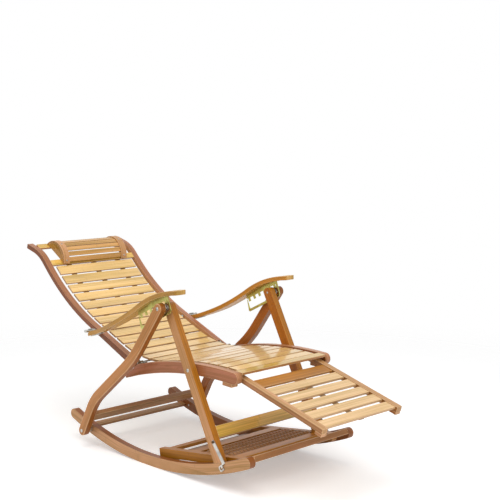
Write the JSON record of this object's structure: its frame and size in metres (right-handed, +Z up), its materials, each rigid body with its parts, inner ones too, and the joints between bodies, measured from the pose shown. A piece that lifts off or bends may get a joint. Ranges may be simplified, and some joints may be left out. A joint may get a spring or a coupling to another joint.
{
  "type": "folding rocking chair",
  "caption": "Folding bamboo rocking lounger: scissor legs on curved rockers, slatted hinged seat and back, headrest, sliding footrest and a roller foot massager.",
  "frame": {"origin": "middle of the chair's length and width, on the floor", "axes": "+X towards the sitter's feet, +Y to the sitter's left, +Z up"},
  "size_m": [1.5018, 0.584, 0.712],
  "materials": {
    "light_bamboo": "glossy varnish on pale laminated bamboo",
    "brown_bamboo": "glossy varnish on brown laminated bamboo",
    "dark_bamboo": "glossy varnish on dark laminated bamboo",
    "steel": "bright plated steel",
    "yellow_zinc": "yellow passivated zinc on steel",
    "webbing": "woven strap"
  },
  "bodies": {
    "rockers": {"rocker_left": "brown_bamboo", "rocker_right": "brown_bamboo", "rocker_front_bar": "brown_bamboo", "rocker_rear_bar": "dark_bamboo", "rocker_mid_bar": "dark_bamboo", "latch_pins": "steel", "rear_bolts": "steel", "rear_spacers": "steel"},
    "rear_legs": {"rear_leg_left": "brown_bamboo", "rear_leg_right": "brown_bamboo", "rear_leg_bar": "dark_bamboo", "apex_bolts": "steel", "apex_spacers": "steel"},
    "front_legs": {"front_leg_left": "brown_bamboo", "front_leg_right": "brown_bamboo", "front_leg_bar": "light_bamboo", "seat_bolts": "steel", "latch_screws": "steel"},
    "hooks": {"latch_hooks": "steel"},
    "seat": {"seat_rail_left": "brown_bamboo", "seat_rail_right": "brown_bamboo", "seat_front_bar": "light_bamboo", "seat_rear_bar": "dark_bamboo", "seat_slats": "light_bamboo", "seat_webbing": "webbing", "footrest_guides": "dark_bamboo", "seat_hinge_leaves": "yellow_zinc", "mid_slats": "light_bamboo", "mid_webbing": "webbing"},
    "rod": {"hinge_rod": "steel"},
    "back": {"back_rail_left": "brown_bamboo", "back_rail_right": "brown_bamboo", "head_bar_top": "light_bamboo", "head_bar_low": "light_bamboo", "back_slats": "light_bamboo", "back_webbing": "webbing", "back_hinge_leaves": "yellow_zinc", "headrest_ends": "light_bamboo", "headrest_arches": "brown_bamboo", "headrest_slats": "light_bamboo"},
    "arm_pivots": {"arm_bolts": "steel", "arm_sleeves": "steel"},
    "armrests": {"armrest_left": "light_bamboo", "armrest_right": "light_bamboo", "bracket_left": "yellow_zinc", "bracket_right": "yellow_zinc", "arm_eyes": "steel"},
    "runners": {"footrest_pins": "steel"},
    "footrest": {"footrest_rail_left": "brown_bamboo", "footrest_rail_right": "brown_bamboo", "footrest_slats": "light_bamboo", "footrest_rear_bar": "dark_bamboo", "footrest_feet": "brown_bamboo"},
    "massager": {"massager_rails": "brown_bamboo", "massager_slats": "light_bamboo", "massager_pins": "steel"},
    "roller_1": {"massager_roller_1": "light_bamboo"},
    "roller_2": {"massager_roller_2": "light_bamboo"},
    "roller_3": {"massager_roller_3": "light_bamboo"},
    "roller_4": {"massager_roller_4": "light_bamboo"}
  },
  "joints": [
    {"name": "rear_leg_fold", "type": "hinge", "parent": "rockers", "child": "rear_legs", "pos_m": [-0.31346, 0, 0.06134], "axis": [0, -1, 0], "range_deg": [0, 12]},
    {"name": "fold", "type": "hinge", "parent": "rear_legs", "child": "front_legs", "pos_m": [0.11954, 0, 0.555], "axis": [0, 1, 0], "range_deg": [0, 66]},
    {"name": "latch_swing", "type": "hinge", "parent": "front_legs", "child": "hooks", "pos_m": [0.34192, 0, 0.15101], "axis": [0, 1, 0], "range_deg": [0, 100]},
    {"name": "seat_fold", "type": "hinge", "parent": "front_legs", "child": "seat", "pos_m": [0.21924, 0, 0.36113], "axis": [0, -1, 0], "range_deg": [0, 103]},
    {"name": "back_fold", "type": "hinge", "parent": "seat", "child": "rod", "pos_m": [-0.07369, 0, 0.3371], "axis": [0, 1, 0], "range_deg": [0, 104], "deforming": ["mid_slats", "mid_webbing"]},
    {"name": "recline", "type": "hinge", "parent": "rod", "child": "back", "pos_m": [-0.07369, 0, 0.3371], "axis": [0, -1, 0], "range_deg": [-24, 0], "deforming": ["mid_slats", "mid_webbing"]},
    {"name": "arm_fold", "type": "hinge", "parent": "back", "child": "arm_pivots", "pos_m": [-0.31322, 0, 0.4203], "axis": [0, -1, 0], "range_deg": [0, 67.5]},
    {"name": "arm_recline", "type": "hinge", "parent": "arm_pivots", "child": "armrests", "pos_m": [-0.31322, 0, 0.4203], "axis": [0, -1, 0], "range_deg": [0, 15.36]},
    {"name": "footrest_slide", "type": "slide", "parent": "seat", "child": "runners", "axis": [-0.9981, 0, -0.061], "range_m": [0, 0.3]},
    {"name": "footrest_tilt", "type": "hinge", "parent": "runners", "child": "footrest", "pos_m": [0.38598, 0, 0.35855], "axis": [0, -1, 0], "range_deg": [0, 17]},
    {"name": "massager_lift", "type": "hinge", "parent": "rockers", "child": "massager", "pos_m": [0.44454, 0, 0.09565], "axis": [0, 1, 0], "range_deg": [0, 8]},
    {"name": "roller_1_spin", "type": "hinge", "parent": "massager", "child": "roller_1", "pos_m": [0.3524, 0, 0.09081], "axis": [0, 1, 0], "continuous": true},
    {"name": "roller_2_spin", "type": "hinge", "parent": "massager", "child": "roller_2", "pos_m": [0.31868, 0, 0.08646], "axis": [0, 1, 0], "continuous": true},
    {"name": "roller_3_spin", "type": "hinge", "parent": "massager", "child": "roller_3", "pos_m": [0.28496, 0, 0.08211], "axis": [0, 1, 0], "continuous": true},
    {"name": "roller_4_spin", "type": "hinge", "parent": "massager", "child": "roller_4", "pos_m": [0.25124, 0, 0.07775], "axis": [0, 1, 0], "continuous": true}
  ],
  "couplings": [
    {"joint": "rear_leg_fold", "follows": "fold", "ratio": 0.18182},
    {"joint": "seat_fold", "follows": "fold", "ratio": 1.5606},
    {"joint": "back_fold", "follows": "fold", "ratio": 1.5758},
    {"joint": "arm_fold", "follows": "fold", "ratio": 1.0227},
    {"joint": "arm_recline", "follows": "recline", "ratio": -0.64},
    {"joint": "footrest_tilt", "follows": "footrest_slide", "rad_per_m": 0.98902}
  ]
}
